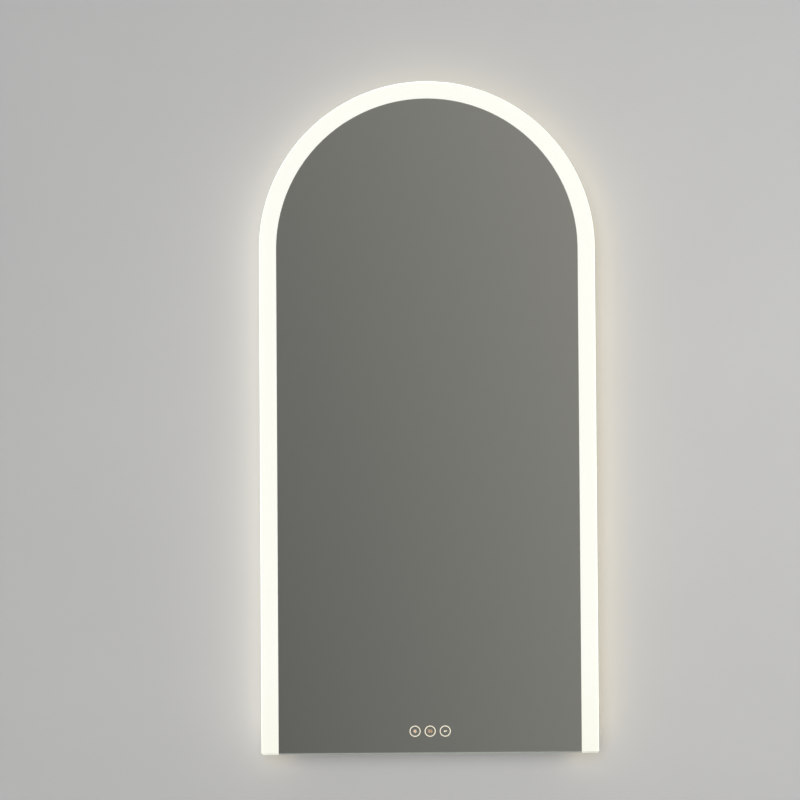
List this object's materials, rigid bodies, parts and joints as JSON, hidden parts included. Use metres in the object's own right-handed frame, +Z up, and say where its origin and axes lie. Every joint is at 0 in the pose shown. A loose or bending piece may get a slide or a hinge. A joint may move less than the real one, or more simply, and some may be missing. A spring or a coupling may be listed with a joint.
{
  "type": "lighted bathroom mirror",
  "caption": "Tall arched wall mirror with a frosted border lit from behind, touch windows near the foot and a hook-on wall rail.",
  "frame": {"origin": "middle of the wall rail's screw row, on the wall plane", "axes": "+Z up along the height, X along the width, the mirror faces -Y and +Y points into the wall"},
  "size_m": [0.5, 0.04, 0.9999],
  "materials": {
    "clear_glass": "polished float glass",
    "silvering": "silvered, grey paint and film behind",
    "frosted_glass": "sandblasted, lit from behind",
    "foam_tape": "matte foam",
    "anodised_aluminium": "satin anodised",
    "zinc_steel": "zinc plated",
    "panel_coat": "white coil coat",
    "strip_laminate": "white laminate",
    "phosphor": "gel, lit",
    "opal_plastic": "opal extrusion, lit",
    "white_plastic": "moulded",
    "black_plastic": "moulded",
    "black_rubber": "moulded",
    "heater_foil": "laminated foil",
    "circuit_board": "solder mask",
    "contact_foam": "conductive foam",
    "sheath": "extruded sheath"
  },
  "bodies": {
    "rail": {"wall_rail": "zinc_steel"},
    "mirror": {"mirror_glass": "clear_glass", "frosted_band": "frosted_glass", "silvered_film": "silvering", "arch_profile": "anodised_aluminium", "light_strip": "strip_laminate", "light_chips": "phosphor", "opal_cover": "opal_plastic", "end_caps": "white_plastic", "bottom_rail": "anodised_aluminium", "corner_keys": "zinc_steel", "rim_screws": "zinc_steel", "driver_screws": "zinc_steel", "hook_rivets": "zinc_steel", "bonding_tape": "foam_tape", "demister_pad": "heater_foil", "back_panel": "panel_coat", "cable_grommet": "black_rubber", "wall_spacers": "black_rubber", "hanging_hooks": "zinc_steel", "cross_brace": "zinc_steel", "led_driver": "white_plastic", "terminal_box": "white_plastic", "terminal_block": "black_plastic", "touch_housing": "black_plastic", "opal_tiles": "opal_plastic", "touch_board": "circuit_board", "touch_lamps": "phosphor", "touch_contacts": "contact_foam", "mains_lead": "sheath", "strip_lead": "sheath", "touch_lead": "sheath", "demister_lead": "sheath", "lead_clips": "black_plastic", "heater_clips": "black_plastic"}
  },
  "joints": [
    {"name": "lift_off", "type": "slide", "parent": "rail", "child": "mirror", "axis": [0, 0, 1], "range_m": [0, 0.012]}
  ]
}
